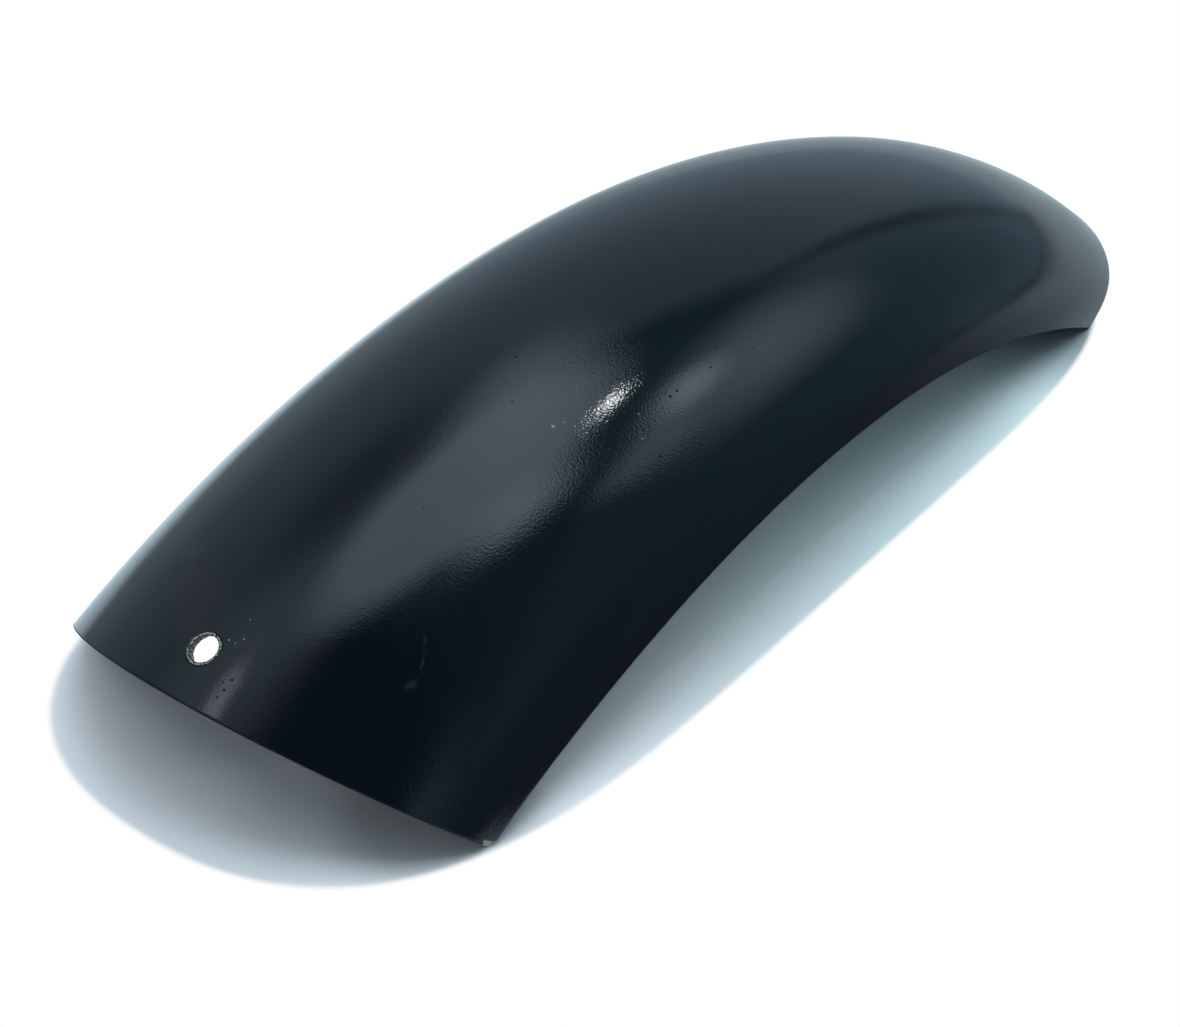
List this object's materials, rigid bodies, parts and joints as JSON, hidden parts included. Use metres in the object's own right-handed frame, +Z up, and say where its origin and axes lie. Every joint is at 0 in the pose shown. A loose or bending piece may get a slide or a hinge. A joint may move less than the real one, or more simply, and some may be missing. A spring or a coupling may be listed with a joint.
{
  "type": "motorcycle rear fender",
  "caption": "Short arched rear fender shell with a crowned section, plain skirts and a bolt hole near one end.",
  "frame": {"origin": "middle of the underside of the bounding box, on the floor that the fender lies on", "axes": "+X along the fender from the bolt end to the tail, +Z up, the chipped corner on the -Y side"},
  "size_m": [0.3784, 0.12, 0.0681],
  "materials": {
    "black_gelcoat": "gloss black gelcoat over a glass-fibre laminate"
  },
  "bodies": {
    "root": {"fender_shell": "black_gelcoat"}
  },
  "joints": []
}
